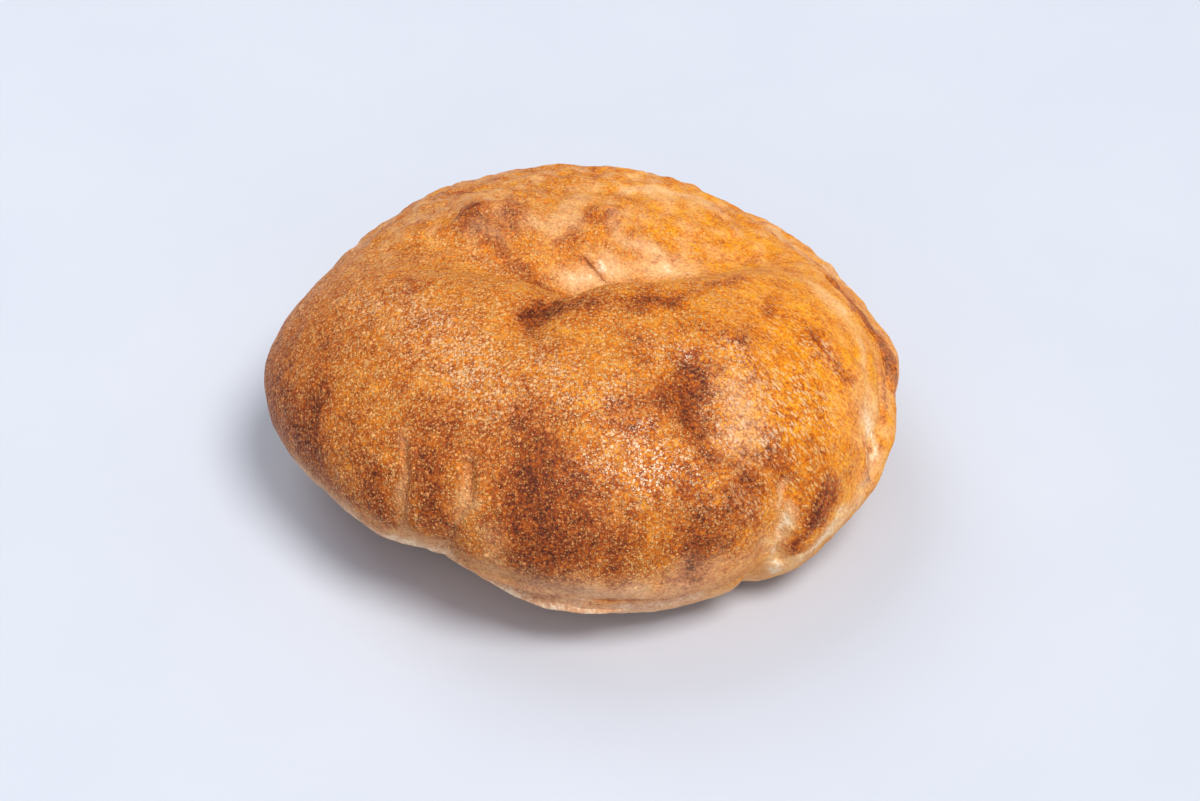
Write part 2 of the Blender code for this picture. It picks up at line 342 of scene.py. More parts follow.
# The patches' edges wander, so they are measured from places that are shifted a little by noise
shift = np.column_stack([grain(points, 6, seed) for seed in (11, 12, 13)]) * 2.2 * MM
shift += np.column_stack([grain(points, 2.4, seed) for seed in (14, 15, 16)]) * 1.1 * MM
wandering = points + shift


def patches(places, spread):
    """The share of each point that a list of patches covers, their radii widened by a factor."""
    return union([
        share * nearness(wandering, [start, end], radius * spread) for start, end, radius, share in places
    ])


toast_and_shade = patches(toasted_and_shaded, 1.35)
cream = patches(pale, 1.2)
gloss_and_painted_glint = patches(glossy_and_painted_glint_places, 1.2)

# The left and the front darker and duller, partly baked and partly painted shade; the right and the rear a
# clear amber
front_shade_and_bake = np.clip((front - 0.45) / 0.5, 0, 1) * np.clip(1.1 - np.abs(side + 0.25), 0, 1)
left_shade_and_bake = np.clip((-side - 0.45) / 0.5, 0, 1) * np.clip((front + 0.4) / 0.6, 0, 1)
clouds = np.clip(0.22 * grain(points, 11, 21) + 0.16 * grain(points, 5, 23) + 0.03, 0, 1)
low_left_shade_and_bake = 0.2 * left_shade_and_bake * np.clip((42 - height) / 12, 0, 1)
toast_and_shade = union([0.92 * toast_and_shade, 0.06 * front_shade_and_bake, 0.22 * left_shade_and_bake, low_left_shade_and_bake, 0.8 * clouds])
amber = np.clip(0.42 + 0.75 * side - 0.40 * front + 0.22 * grain(points, 12, 22), 0, 1)

# The rear and the right edge stayed paler in soft blotches, the rear has browned spots among them,
# and the belly low down is dusty
blotches = np.clip(0.5 + 1.1 * grain(points, 3.8, 25) + 0.5 * grain(points, 9, 26), 0, 1)
dusty = np.clip((30 - height + 5 * grain(points, 8, 27)) / 9, 0, 1) * np.clip((0.6 - side) / 0.3, 0, 1)
browned = np.clip(1.1 * grain(points, 4.6, 28) + 0.7 * grain(points, 1.8, 29) - 0.2, 0, 1)
toast_and_shade = union([toast_and_shade, 0.3 * rear * browned])
cream = union([cream, 0.34 * rear * blotches**2, 0.34 * right_edge * blotches, 0.45 * dusty])
cream *= 1 - 0.85 * np.clip(toast_and_shade, 0, 1)

# Underneath, the flat base is pale with scorched marks, and it fades up into the belly
under = np.clip((16 - height) / 14, 0, 1) * np.clip(-normals[:, 2] * 1.6, 0, 1)
scorched = np.clip(grain(points, 13, 31) * 1.3 - 0.1, 0, 1) * np.clip((3 - height) / 3, 0, 1)
cream = union([cream, 0.75 * under * (1 - scorched)])
toast_and_shade = union([toast_and_shade * (1 - 0.6 * under), 0.6 * scorched])

# Painted shade: the crack in the hollow is painted dark along its bottom, where shade falls
crack_painted_shade = 0.8 * nearness(points, HOLLOW_CRACK, 0.7)
cream *= 1 - crack_painted_shade
toast_and_shade = union([toast_and_shade, 0.6 * crack_painted_shade])

# Flecks crowd the top, the front and the left; the right edge and the rear are smoother
fleck = (1 - 0.7 * cream) * np.clip((height - 15 + 3 * grain(points, 8, 24)) / 12, 0, 1)
fleck *= (1 - 0.75 * right_edge) * (1 - 0.15 * rear) * (1 - 0.7 * np.clip((toast_and_shade - 0.55) / 0.35, 0, 1))
fleck *= 1 - 0.5 * np.clip(amber - 0.5, 0, 0.5) * 2 * (1 - gloss_and_painted_glint)

# Domed blisters stand only where the flecks are thick, most of them on the left
blistered = np.clip((fleck - 0.45) / 0.45, 0, 1) * np.clip(0.55 - 1.1 * side, 0.04, 1) * (1 - rear)

# What the crust's finish reads, and the folds of the seam carry too; only the scattering of the
# blisters reads `blistered`
finish_values = {
    "toast_and_shade": toast_and_shade, "cream": cream, "dusty": dusty, "amber": amber, "fleck": fleck, "gloss_and_painted_glint": gloss_and_painted_glint,
    "wrinkled": wrinkled,
}
for name, values in (finish_values | {"blistered": blistered}).items():
    attribute = crust_mesh.attributes.new(name, "FLOAT", "POINT")
    attribute.data.foreach_set("value", values.astype(np.float32))


def new_group(name, inputs, outputs):
    """A shader node group with float inputs and named outputs, ready to be filled."""
    group = bpy.data.node_groups.new(name, "ShaderNodeTree")
    for label, start in inputs:
        socket = group.interface.new_socket(label, in_out="INPUT", socket_type="NodeSocketFloat")
        socket.default_value = start
    for label, kind in outputs:
        group.interface.new_socket(label, in_out="OUTPUT", socket_type=kind)
    return group, group.nodes.new("NodeGroupInput"), group.nodes.new("NodeGroupOutput")


def feed(tree, socket, value):
    """Links another socket to this one, or sets it to a number or a colour."""
    if isinstance(value, bpy.types.NodeSocket):
        tree.links.new(value, socket)
    else:
        socket.default_value = value


def worked_out(tree, operation, *values, clamp=False):
    """A Math node whose inputs are sockets or numbers; its result is returned."""
    node = tree.nodes.new("ShaderNodeMath")
    node.operation = operation
    node.use_clamp = clamp
    for socket, value in zip(node.inputs, values):
        feed(tree, socket, value)
    return node.outputs[0]


def blended(tree, share, first, second):
    """A colour between two others, each a socket or a colour, by a share."""
    node = tree.nodes.new("ShaderNodeMix")
    node.data_type = "RGBA"
    factor, colour_a, colour_b = node.inputs[0], node.inputs[6], node.inputs[7]
    feed(tree, factor, share)
    feed(tree, colour_a, first)
    feed(tree, colour_b, second)
    return node.outputs[2]


def speckled_noise(tree, coordinates, scale, detail, roughness=0.55):
    node = tree.nodes.new("ShaderNodeTexNoise")
    node.inputs["Scale"].default_value = scale
    node.inputs["Detail"].default_value = detail
    node.inputs["Roughness"].default_value = roughness
    tree.links.new(coordinates, node.inputs["Vector"])
    return node


def baked_tone():
    """The colour of baked dough, from how far it is toasted (painted shade included), how pale, and how
    amber it is.
    """
    inputs = [("Toast", 0.0), ("Cream", 0.0), ("Amber", 0.5), ("Dusty", 0.0)]
    group, given, made = new_group("baked_tone", inputs, [("Color", "NodeSocketColor")])
    dull = group.nodes.new("ShaderNodeValToRGB")
    clear = group.nodes.new("ShaderNodeValToRGB")
    tones = (
        (dull, ((0.0, (232, 150, 48)), (0.25, (206, 112, 24)), (0.55, (160, 70, 14)), (1.0, (84, 30, 12)))),
        (clear, ((0.0, (244, 165, 14)), (0.25, (224, 125, 6)), (0.55, (170, 76, 6)), (1.0, (86, 32, 8)))),
    )
    for ramp, stops in tones:
        elements = ramp.color_ramp.elements
        while len(elements) < len(stops):
            elements.new(0.5)
        for element, (place, colour) in zip(elements, stops):
            element.position = place
            element.color = shade(*colour)
        group.links.new(given.outputs["Toast"], ramp.inputs[0])
    tone = blended(group, given.outputs["Amber"], dull.outputs[0], clear.outputs[0])
    palest = blended(group, given.outputs["Dusty"], shade(244, 202, 152), shade(240, 198, 160))
    tone = blended(group, given.outputs["Cream"], tone, palest)
    unbaked = worked_out(group, "MULTIPLY_ADD", given.outputs["Cream"], 3.0, -2.1, clamp=True)
    tone = blended(group, unbaked, tone, shade(252, 224, 186))
    group.links.new(tone, made.inputs["Color"])
    return group


def crust_flecks():
    """Small uneven flecks packed side by side, as a mask and a height; they can be drawn out downhill."""
    inputs = [("Per metre", 800.0), ("Fill", 0.5), ("Drawn out", 0.0)]
    outputs = [("Mask", "NodeSocketFloat"), ("Height", "NodeSocketFloat")]
    group, given, made = new_group("crust_flecks", inputs, outputs)
    place = group.nodes.new("ShaderNodeTexCoord").outputs["Object"]
    along = group.nodes.new("ShaderNodeVectorMath")
    along.operation = "DOT_PRODUCT"
    along.inputs[1].default_value = DOWNHILL
    group.links.new(place, along.inputs[0])
    taken = worked_out(group, "MULTIPLY", along.outputs["Value"], given.outputs["Drawn out"])
    back = group.nodes.new("ShaderNodeVectorMath")
    back.operation = "SCALE"
    back.inputs[0].default_value = DOWNHILL
    group.links.new(taken, back.inputs["Scale"])
    squeezed = group.nodes.new("ShaderNodeVectorMath")
    squeezed.operation = "SUBTRACT"
    group.links.new(place, squeezed.inputs[0])
    group.links.new(back.outputs[0], squeezed.inputs[1])
    wobble = speckled_noise(group, place, 1800, 1)
    offset = group.nodes.new("ShaderNodeVectorMath")
    offset.operation = "MULTIPLY_ADD"
    offset.inputs[1].default_value = (0.7 * MM, 0.7 * MM, 0.7 * MM)
    group.links.new(wobble.outputs["Color"], offset.inputs[0])
    group.links.new(squeezed.outputs[0], offset.inputs[2])
    cells = group.nodes.new("ShaderNodeTexVoronoi")
    cells.feature = "F1"
    group.links.new(offset.outputs[0], cells.inputs["Vector"])
    group.links.new(given.outputs["Per metre"], cells.inputs["Scale"])
    own = group.nodes.new("ShaderNodeSeparateColor")
    group.links.new(cells.outputs["Color"], own.inputs[0])
    radius = worked_out(group, "MULTIPLY_ADD", own.outputs[0], 0.9, 0.2)
    radius = worked_out(group, "MULTIPLY", radius, given.outputs["Fill"])
    inside = worked_out(group, "SUBTRACT", radius, cells.outputs["Distance"])
    mask = worked_out(group, "MULTIPLY", inside, 6.0, clamp=True)
    brightness = worked_out(group, "MULTIPLY_ADD", own.outputs[1], 1.5, -0.1)
    group.links.new(worked_out(group, "MULTIPLY", mask, brightness, clamp=True), made.inputs["Mask"])
    reach = worked_out(group, "DIVIDE", cells.outputs["Distance"], radius)
    domed = worked_out(group, "SUBTRACT", 1.0, worked_out(group, "MULTIPLY", reach, reach), clamp=True)
    group.links.new(worked_out(group, "MULTIPLY", domed, radius), made.inputs["Height"])
    return group


tone_group = baked_tone()
fleck_group = crust_flecks()


def placed(tree, group, **values):
    """A group placed in a material, with its inputs linked or set by name."""
    node = tree.nodes.new("ShaderNodeGroup")
    node.node_tree = group
    for label, value in values.items():
        feed(tree, node.inputs[label.replace("_", " ")], value)
    return node


def read(tree, name):
    node = tree.nodes.new("ShaderNodeAttribute")
    node.attribute_name = name
    return node.outputs["Fac"]


def crust_finish():
    material = bpy.data.materials.new("baked_crust_skin")
    material.use_nodes = True
    tree = material.node_tree
    shader = tree.nodes["Principled BSDF"]
    shader.inputs["Specular IOR Level"].default_value = 0.2
    shader.inputs["Coat Roughness"].default_value = 0.2
    place = tree.nodes.new("ShaderNodeTexCoord").outputs["Object"]
    toast_and_shade, amber, dusty = read(tree, "toast_and_shade"), read(tree, "amber"), read(tree, "dusty")
    fleck, gloss_and_painted_glint, wrinkled = read(tree, "fleck"), read(tree, "gloss_and_painted_glint"), read(tree, "wrinkled")

    mottle = speckled_noise(tree, place, 300, 5, 0.7).outputs["Fac"]
    mottled = worked_out(tree, "SUBTRACT", mottle, 0.5)
    toast_and_shade_base = worked_out(tree, "MULTIPLY_ADD", toast_and_shade, 0.85, 0.1)
    toast_and_shade_base = worked_out(tree, "MULTIPLY_ADD", fleck, 0.15, toast_and_shade_base)
    freckle = speckled_noise(tree, place, 1300, 3, 0.65).outputs["Fac"]
    freckled = worked_out(tree, "SUBTRACT", freckle, 0.5)
    uneven = worked_out(tree, "MULTIPLY_ADD", freckled, 1.5, worked_out(tree, "MULTIPLY", mottled, 1.2))
    swing = worked_out(tree, "MULTIPLY_ADD", toast_and_shade, 0.8, 0.75)
    swing = worked_out(tree, "MULTIPLY_ADD", gloss_and_painted_glint, 0.8, swing)
    toast_and_shade_here = worked_out(tree, "MULTIPLY_ADD", uneven, swing, toast_and_shade_base, clamp=True)
    patchy = worked_out(tree, "MULTIPLY_ADD", uneven, -1.2, 0.98)
    cream = worked_out(tree, "MULTIPLY", read(tree, "cream"), patchy, clamp=True)
    streaks = speckled_noise(tree, place, 700, 3).outputs["Fac"]
    streaked = worked_out(tree, "MULTIPLY_ADD", streaks, 0.8, -0.4)
    amber_here = worked_out(tree, "ADD", amber, streaked, clamp=True)
    base = placed(tree, tone_group, Toast=toast_and_shade_here, Cream=cream, Amber=amber_here, Dusty=dusty)

    fine = placed(tree, fleck_group, Per_metre=1900.0, Fill=0.7)
    coarse = placed(tree, fleck_group, Per_metre=1050.0, Fill=0.55)
    drawn = placed(tree, fleck_group, Per_metre=1400.0, Fill=0.74, Drawn_out=0.55)
    fewer_coarse = worked_out(tree, "MULTIPLY_ADD", toast_and_shade, -1.6, 0.9, clamp=True)
    flecks = []
    for measure in ("Mask", "Height"):
        large = worked_out(tree, "MULTIPLY", coarse.outputs[measure], fewer_coarse)
        still = worked_out(tree, "MAXIMUM", fine.outputs[measure], large)
        pattern = tree.nodes.new("ShaderNodeMix")
        tree.links.new(wrinkled, pattern.inputs[0])
        tree.links.new(still, pattern.inputs[2])
        tree.links.new(drawn.outputs[measure], pattern.inputs[3])
        flecks.append(worked_out(tree, "MULTIPLY", pattern.outputs[0], fleck, clamp=True))
    toast_and_shade_less = worked_out(tree, "MULTIPLY", toast_and_shade_base, 0.45)
    light = placed(tree, tone_group, Toast=toast_and_shade_less, Cream=cream, Amber=0.4, Dusty=dusty).outputs["Color"]
    peach = worked_out(tree, "MULTIPLY_ADD", toast_and_shade, -0.6, 0.62, clamp=True)
    light = blended(tree, peach, light, shade(250, 202, 134))
    # Painted highlight: in the glossy places the flecks are painted pinkish white, as glints
    light = blended(tree, worked_out(tree, "MULTIPLY", gloss_and_painted_glint, 0.75), light, shade(253, 214, 178))
    fleck_mask, fleck_height = flecks
    colour = blended(tree, fleck_mask, base.outputs["Color"], light)
    tree.links.new(colour, shader.inputs["Base Color"])

    rough = worked_out(tree, "MULTIPLY_ADD", fleck_mask, -0.16, 0.54)
    rough = worked_out(tree, "MULTIPLY_ADD", gloss_and_painted_glint, -0.1, rough)
    rough = worked_out(tree, "MULTIPLY_ADD", mottled, 0.4, rough, clamp=True)
    tree.links.new(rough, shader.inputs["Roughness"])
    shine = worked_out(tree, "MULTIPLY_ADD", gloss_and_painted_glint, 0.7, 0.2)
    shine = worked_out(tree, "MULTIPLY", fleck_mask, shine, clamp=True)
    tree.links.new(shine, shader.inputs["Coat Weight"])

    heights = worked_out(tree, "ADD", streaks, fleck_height)
    heights = worked_out(tree, "MULTIPLY_ADD", freckle, 0.6, heights)
    bump = tree.nodes.new("ShaderNodeBump")
    bump.inputs["Strength"].default_value = 1.0
    bump.inputs["Distance"].default_value = 0.55 * MM
    tree.links.new(heights, bump.inputs["Height"])
    tree.links.new(bump.outputs["Normal"], shader.inputs["Normal"])
    return material


crust_material = crust_finish()
crust_mesh.materials.clear()
crust_mesh.materials.append(crust_material)
crust = bpy.data.objects.new("crust", crust_mesh)
bpy.context.scene.collection.objects.link(crust)
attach(crust, "root")
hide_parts("lepinja")


# The seam
# Thin folds of the dough itself, where it was drawn together and pressed: a pale lip and a crease
# under the front of the belly, browned flaps on the right rim and a foot where they end, and a
# small fold beside the crack in the hollow. Each is pinched out at its ends.

baked_skin = BVHTree.FromPolygons(points.tolist(), [tuple(face.vertices) for face in crust_mesh.polygons])


def evened(rows, reach):
    """The rows smoothed over about `reach` neighbours, with the ends held."""
    weights = np.hanning(2 * reach + 1)
    weights /= weights.sum()
    padded = np.pad(rows, ((reach, reach), (0, 0)), mode="edge")
    return np.column_stack([np.convolve(padded[:, axis], weights, "valid") for axis in range(3)])


def dough_fold(name, path, width, thickness, lean, tones, seed):
    """A thin fold along a path on the skin.

    `lean` in degrees lifts its edge on the path's right side, and `tones` gives the lowest and the
    highest of the values that its finish reads.
    """
    found = [baked_skin.find_nearest(Vector(place) * MM) for place in path]
    stops = np.array([spot for spot, *rest in found])
    along = np.concatenate([[0], np.cumsum(np.linalg.norm(np.diff(stops, axis=0), axis=1))])
    between_rings = 0.3 * MM
    reached = np.arange(0, along[-1], between_rings)
    middle = evened(np.column_stack([np.interp(reached, along, stops[:, axis]) for axis in range(3)]), 12)
    found = [baked_skin.find_nearest(Vector(place)) for place in middle]
    middle = evened(np.array([spot for spot, *rest in found]), 4)
    outward = evened(np.array([facing for spot, facing, *rest in found]), 12)
    ahead = np.gradient(middle, axis=0)
    ahead /= np.linalg.norm(ahead, axis=1)[:, None]
    outward -= np.sum(outward * ahead, axis=1)[:, None] * ahead
    outward /= np.linalg.norm(outward, axis=1)[:, None]
    right = np.cross(ahead, outward)

    share = np.linspace(0, 1, len(middle))
    pinched = np.sin(np.pi * np.clip(share, 0.004, 0.996)) ** 0.5
    uneven = 1 + 0.25 * grain(middle, 5, seed) + 0.15 * grain(middle, 1.6, seed + 1)
    wide = width / 2 * pinched * uneven * MM
    thick = thickness / 2 * pinched * (1 + 0.2 * grain(middle, 4, seed + 2)) * MM
    around = 18
    angle = np.linspace(0, 2 * np.pi, around, endpoint=False)
    ragged = 0.14 * MM * grain(middle, 1.1, seed + 3)[:, None] * np.cos(angle)
    flat = wide[:, None] * np.cos(angle) + ragged
    deep = thick[:, None] * np.sin(angle) * (1 - 0.35 * np.cos(angle))
    cosine, sine = math.cos(math.radians(lean)), math.sin(math.radians(lean))
    across = flat * cosine - deep * sine
    proud = flat * sine + deep * cosine
    rings = middle[:, None] + right[:, None] * across[..., None] + outward[:, None] * proud[..., None]
    above_table = 0.5 * MM
    rings[..., 2] = np.maximum(rings[..., 2], above_table)

    last = len(middle) - 1
    faces = [
        (ring * around + k, ring * around + (k + 1) % around, (ring + 1) * around + (k + 1) % around,
         (ring + 1) * around + k)
        for ring in range(last) for k in range(around)
    ]
    faces += [tuple(range(around))[::-1], tuple(last * around + k for k in range(around))]
    mesh = bpy.data.meshes.new(name)
    mesh.from_pydata(rings.reshape(-1, 3).tolist(), [], faces)
    closed = bmesh.new()
    closed.from_mesh(mesh)
    bmesh.ops.recalc_face_normals(closed, faces=closed.faces[:])
    closed.to_mesh(mesh)
    closed.free()
    mesh.shade_smooth()
    mesh.materials.append(crust_material)

    # Towards its ends the fold takes the colour of the crust that it grows out of
    spots = rings.reshape(-1, 3)
    cloud = 0.5 + 0.9 * grain(spots, 3.5, seed + 4)
    own = np.repeat(np.clip(np.minimum(share, 1 - share) / 0.3, 0, 1), around)
    beside = [np.argmin(np.sum((skin_points - spot) ** 2, axis=1)) for spot in middle]
    for label, crust_values in finish_values.items():
        low, high = tones.get(label, (0.0, 0.0))
        crust_here = np.repeat(crust_values[beside], around)
        values = own * np.clip(low + (high - low) * cloud, 0, 1) + (1 - own) * crust_here
        attribute = mesh.attributes.new(label, "FLOAT", "POINT")
        attribute.data.foreach_set("value", values.astype(np.float32))
    fold = bpy.data.objects.new(name, mesh)
    bpy.context.scene.collection.objects.link(fold)
    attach(fold, "root")


dough_fold(
    "front_lip",
    [(-34, -64, 17), (-28, -67, 16), (-18, -71, 15), (-10, -73, 14), (0, -74, 13), (12, -73, 12)],
    2.6, 3.0, 10, {"cream": (0.5, 0.9), "dusty": (0.8, 1.0), "toast_and_shade": (0.0, 0.2), "amber": (0.2, 0.4)}, 40,
)
dough_fold(
    "front_lip_crease", [(-8, -74, 19), (-2, -75, 18), (6, -75, 17), (14, -74, 16), (22, -71, 15)],
    1.6, 0.8, 14, {"cream": (0.3, 0.6), "dusty": (0.8, 1.0), "toast_and_shade": (0.1, 0.3), "amber": (0.2, 0.4)}, 50,
)
dough_fold(
    "rim_flap_upper", [(58, 24, 43), (64, 16, 42), (68, 9, 41), (71, 4, 39), (74, 0, 37)],
    5.0, 1.3, 2, {"toast_and_shade": (0.25, 0.6), "amber": (0.4, 0.8), "fleck": (0.1, 0.4)}, 60,
)
dough_fold(
    "rim_flap_lower", [(73, 4, 37), (75, 0, 35), (77, -5, 34), (77, -10, 33), (76, -14, 32)],
    5.2, 1.8, 2, {"toast_and_shade": (0.3, 0.65), "cream": (0.0, 0.15), "amber": (0.6, 0.9), "fleck": (0.2, 0.5)}, 70,
)
dough_fold(
    "hollow_fold", [(-1, 19, 51), (3, 17, 50), (5, 14, 49), (7, 10, 48)],
    2.8, 1.1, 4, {"toast_and_shade": (0.0, 0.25), "cream": (0.4, 1.0), "amber": (0.5, 0.7)}, 90,
)
dough_fold(
    "rim_flap_foot", [(67, -31, 36), (69, -35, 32), (69, -38, 28), (67, -41, 26)],
    2.6, 1.2, 10, {"toast_and_shade": (0.1, 0.4), "cream": (0.2, 0.5), "amber": (0.5, 0.8)}, 80,
)


# The blisters
# Pinhead blisters that rose on the dough's skin as its surface dried and boiled, paler than the
# crust between them. They stand as flat domes, from about 0.4 to 1.5 mm across, dense on the left
# and middle of the top and front, few on the amber right side, and none on the rear.

def blister_rule():
    """Scatters flat domes over a skin, as many as its `blistered` attribute asks for."""
    tree = bpy.data.node_groups.new("blisters_on_skin", "GeometryNodeTree")
    sockets = (
        ("Skin", "NodeSocketGeometry", None), ("Per square metre", "NodeSocketFloat", 600000.0),
        ("Spacing", "NodeSocketFloat", 0.001), ("Smallest", "NodeSocketFloat", 0.0003),
        ("Largest", "NodeSocketFloat", 0.0006), ("Flatness", "NodeSocketFloat", 0.3),
        ("Seed", "NodeSocketInt", 1), ("Finish", "NodeSocketMaterial", None),
    )
    for label, kind, start in sockets:
        socket = tree.interface.new_socket(label, in_out="INPUT", socket_type=kind)
        if start is not None:
            socket.default_value = start
    tree.interface.new_socket("Blisters", in_out="OUTPUT", socket_type="NodeSocketGeometry")
    new, link = tree.nodes.new, tree.links.new
    given, made = new("NodeGroupInput"), new("NodeGroupOutput")

    def drawn_between(low, high, seed):
        """A number drawn at random for each blister."""
        node = new("FunctionNodeRandomValue")
        node.data_type = "FLOAT"
        for socket, value in ((node.inputs[2], low), (node.inputs[3], high), (node.inputs["Seed"], seed)):
            feed(tree, socket, value)
        return node.outputs[1]

    room = new("GeometryNodeInputNamedAttribute")
    room.data_type = "FLOAT"
    room.inputs["Name"].default_value = "blistered"
    scatter = new("GeometryNodeDistributePointsOnFaces")
    scatter.distribute_method = "POISSON"
    link(given.outputs["Skin"], scatter.inputs["Mesh"])
    link(given.outputs["Spacing"], scatter.inputs["Distance Min"])
    link(given.outputs["Per square metre"], scatter.inputs["Density Max"])
    link(room.outputs["Attribute"], scatter.inputs["Density Factor"])
    link(given.outputs["Seed"], scatter.inputs["Seed"])

    dome = new("GeometryNodeMeshIcoSphere")
    dome.inputs["Radius"].default_value = 1.0
    dome.inputs["Subdivisions"].default_value = 1
    sunk = new("GeometryNodeTransform")
    sunk.inputs["Translation"].default_value = (0.0, 0.0, -0.55)
    link(dome.outputs["Mesh"], sunk.inputs["Geometry"])
    size = drawn_between(given.outputs["Smallest"], given.outputs["Largest"], given.outputs["Seed"])
    scale = new("ShaderNodeCombineXYZ")
    link(worked_out(tree, "MULTIPLY", size, drawn_between(0.75, 1.35, 5)), scale.inputs["X"])
    link(size, scale.inputs["Y"])
    link(worked_out(tree, "MULTIPLY", size, given.outputs["Flatness"]), scale.inputs["Z"])
    about = new("ShaderNodeCombineXYZ")
    link(drawn_between(0.0, 2 * math.pi, 6), about.inputs["Z"])
    spin = new("FunctionNodeRotateRotation")
    spin.rotation_space = "LOCAL"
    link(scatter.outputs["Rotation"], spin.inputs["Rotation"])
    link(about.outputs[0], spin.inputs["Rotate By"])

    keep = new("GeometryNodeStoreNamedAttribute")
    keep.data_type = "FLOAT"
    keep.domain = "POINT"
    keep.inputs["Name"].default_value = "paleness"
    link(scatter.outputs["Points"], keep.inputs["Geometry"])
    link(drawn_between(0.0, 1.0, 7), keep.inputs["Value"])

    domes = new("GeometryNodeInstanceOnPoints")
    link(keep.outputs["Geometry"], domes.inputs["Points"])
    link(sunk.outputs[0], domes.inputs["Instance"])
    link(spin.outputs[0], domes.inputs["Rotation"])
    link(scale.outputs[0], domes.inputs["Scale"])
    real = new("GeometryNodeRealizeInstances")
    link(domes.outputs[0], real.inputs[0])
    smooth = new("GeometryNodeSetShadeSmooth")
    link(real.outputs[0], smooth.inputs["Geometry"])
    finish = new("GeometryNodeSetMaterial")
    link(smooth.outputs[0], finish.inputs["Geometry"])
    link(given.outputs["Finish"], finish.inputs["Material"])
    link(finish.outputs[0], made.inputs["Blisters"])
    return tree


def blister_finish():
    material = bpy.data.materials.new("blister_skin")
    material.use_nodes = True
    tree = material.node_tree
    shader = tree.nodes["Principled BSDF"]
    shader.inputs["Specular IOR Level"].default_value = 0.3
    place = tree.nodes.new("ShaderNodeTexCoord").outputs["Object"]
    browning_and_shade, gloss_and_painted_glint, paleness = read(tree, "toast_and_shade"), read(tree, "gloss_and_painted_glint"), read(tree, "paleness")
    mottle = speckled_noise(tree, place, 300, 5, 0.62).outputs["Fac"]
    mottled = worked_out(tree, "SUBTRACT", mottle, 0.5)
    toast_and_shade = worked_out(tree, "MULTIPLY_ADD", browning_and_shade, 0.85, 0.15)
    toast_and_shade = worked_out(tree, "MULTIPLY_ADD", mottled, 0.8, toast_and_shade, clamp=True)
    toast_and_shade = worked_out(tree, "MULTIPLY", toast_and_shade, worked_out(tree, "MULTIPLY_ADD", paleness, -0.4, 0.9))
    amber = worked_out(tree, "MULTIPLY", read(tree, "amber"), 0.7)
    tone = placed(tree, tone_group, Toast=toast_and_shade, Cream=read(tree, "cream"), Amber=amber).outputs["Color"]
    peach = worked_out(tree, "MULTIPLY_ADD", browning_and_shade, -0.6, 0.55, clamp=True)
    peach = worked_out(tree, "MULTIPLY", peach, paleness)
    tone = blended(tree, peach, tone, shade(247, 194, 132))
    # Painted highlight: in the glossy places the blisters are painted pinkish white, as glints
    tone = blended(tree, worked_out(tree, "MULTIPLY", gloss_and_painted_glint, 0.5), tone, shade(250, 208, 174))
    tree.links.new(tone, shader.inputs["Base Color"])
    tree.links.new(worked_out(tree, "MULTIPLY_ADD", gloss_and_painted_glint, -0.16, 0.48), shader.inputs["Roughness"])
    fine = speckled_noise(tree, place, 2600, 2).outputs["Fac"]
    bump = tree.nodes.new("ShaderNodeBump")
    bump.inputs["Strength"].default_value = 0.4
    bump.inputs["Distance"].default_value = 0.1 * MM
    tree.links.new(fine, bump.inputs["Height"])
    tree.links.new(bump.outputs["Normal"], shader.inputs["Normal"])
    return material


blister_tree = blister_rule()
blister_material = blister_finish()


def scattered(name, skin_mesh, **values):
    """Blisters grown on the crust by the rule, as a plain mesh with nothing left to work out."""
    host = bpy.data.objects.new("blister_host", skin_mesh)
    bpy.context.scene.collection.objects.link(host)
    grown = host.modifiers.new("blisters", "NODES")
    grown.node_group = blister_tree
    items = blister_tree.interface.items_tree
    sockets = {item.name: item.identifier for item in items if item.in_out == "INPUT"}
    for label, value in values.items():
        grown[sockets[label.replace("_", " ")]] = value
    mesh = bpy.data.meshes.new_from_object(host.evaluated_get(bpy.context.evaluated_depsgraph_get()))
    bpy.data.objects.remove(host)
    mesh.name = name
    piece = bpy.data.objects.new(name, mesh)
    bpy.context.scene.collection.objects.link(piece)
    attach(piece, "root")
    return piece


scattered(
    "blisters_fine", crust_mesh, Per_square_metre=640000.0, Spacing=0.95 * MM, Smallest=0.22 * MM,
    Largest=0.44 * MM, Flatness=0.28, Seed=3, Finish=blister_material,
)
scattered(
    "blisters_coarse", crust_mesh, Per_square_metre=90000.0, Spacing=2.4 * MM, Smallest=0.45 * MM,
    Largest=0.85 * MM, Flatness=0.2, Seed=8, Finish=blister_material,
)


# The table top
# A plain pale surface with a cool tint, softly mottled, as a matt painted board is. The bread
# rests on it with its flat base, and it runs on past the edges of the picture.

def table_top():
    plane = bmesh.new()
    middle_to_edge = 1.6
    bmesh.ops.create_grid(plane, x_segments=1, y_segments=1, size=middle_to_edge)
    mesh = bpy.data.meshes.new("table_top")
    plane.to_mesh(mesh)
    plane.free()
    material = bpy.data.materials.new("pale_board")
    material.use_nodes = True
    tree = material.node_tree
    shader = tree.nodes["Principled BSDF"]
    shader.inputs["Roughness"].default_value = 0.6
    place = tree.nodes.new("ShaderNodeTexCoord").outputs["Object"]
    cloud = speckled_noise(tree, place, 14, 3).outputs["Fac"]
    colour = blended(tree, cloud, shade(194, 197, 206), shade(202, 204, 212))
    tree.links.new(colour, shader.inputs["Base Color"])
    mesh.materials.append(material)
    floor = bpy.data.objects.new("table_top", mesh)
    bpy.context.scene.collection.objects.link(floor)


table_top()


# Light and camera
# A wide soft light overhead, a little to the front and right, weaker ones from the back left and
# low in front, a cool one over the whole ceiling, and a faint blue from all round. The camera
# looks down on the bread's front.

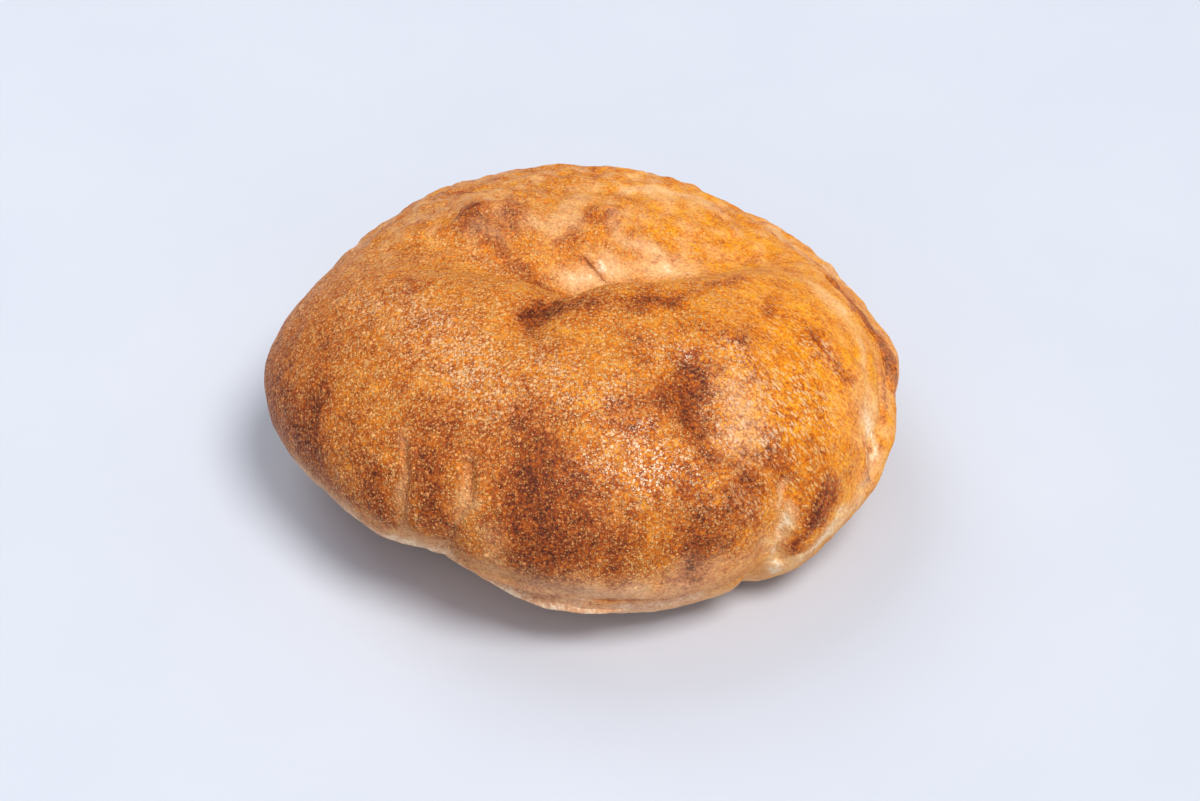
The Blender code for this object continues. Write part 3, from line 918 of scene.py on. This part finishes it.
def soft_light(name, direction, spread, power, tint):
    """A light from a direction, spread over so many degrees of the sky."""
    lamp = bpy.data.lights.new(name, "SUN")
    lamp.energy = power
    lamp.angle = math.radians(spread)
    lamp.color = tint
    thing = bpy.data.objects.new(name, lamp)
    thing.rotation_euler = Vector(direction).to_track_quat("Z", "Y").to_euler()
    bpy.context.scene.collection.objects.link(thing)


soft_light("key_above", (0.34, -0.30, 0.89), 26, 2.75, (1.0, 0.985, 0.955))
soft_light("fill_back_left", (-0.42, 0.52, 0.74), 40, 0.9, (0.97, 0.99, 1.0))
soft_light("fill_front", (0.05, -0.86, 0.5), 70, 0.75, (0.80, 0.88, 1.0))
soft_light("ceiling", (0.0, -0.1, 1.0), 120, 0.95, (0.80, 0.90, 1.0))

world = bpy.data.worlds.new("studio")
bpy.context.scene.world = world
world.use_nodes = True
backdrop = world.node_tree.nodes["Background"]
backdrop.inputs["Color"].default_value = (0.66, 0.77, 1.0, 1.0)
backdrop.inputs["Strength"].default_value = 0.1
bpy.context.scene.view_settings.view_transform = "Standard"

# Lens and sensor in millimetres, distance in metres, and the frame and the place of the bread's
# middle in it in pixels of the photo
LENS, SENSOR = 85.0, 36.0
DISTANCE = 0.716
LOOK_DOWN = math.radians(40)
FRAME_SIZE = (1200, 801)
BREAD_MIDDLE = Vector((0, 0, 0.028))
MIDDLE_IN_FRAME = (583, 370)
camera_data = bpy.data.cameras.new("camera")
camera_data.lens = LENS
camera_data.sensor_width = SENSOR
camera = bpy.data.objects.new("camera", camera_data)
backwards = Vector((0, -math.cos(LOOK_DOWN), math.sin(LOOK_DOWN)))
facing = (-backwards).to_track_quat("-Z", "Y")
per_pixel = DISTANCE * SENSOR / LENS / FRAME_SIZE[0]
sideways = (FRAME_SIZE[0] / 2 - MIDDLE_IN_FRAME[0]) * per_pixel
upwards = (FRAME_SIZE[1] / 2 - MIDDLE_IN_FRAME[1]) * per_pixel
aim = BREAD_MIDDLE + facing @ Vector((sideways, -upwards, 0))
camera.location = aim + backwards * DISTANCE
camera.rotation_euler = facing.to_euler()
bpy.context.scene.collection.objects.link(camera)
bpy.context.scene.camera = camera
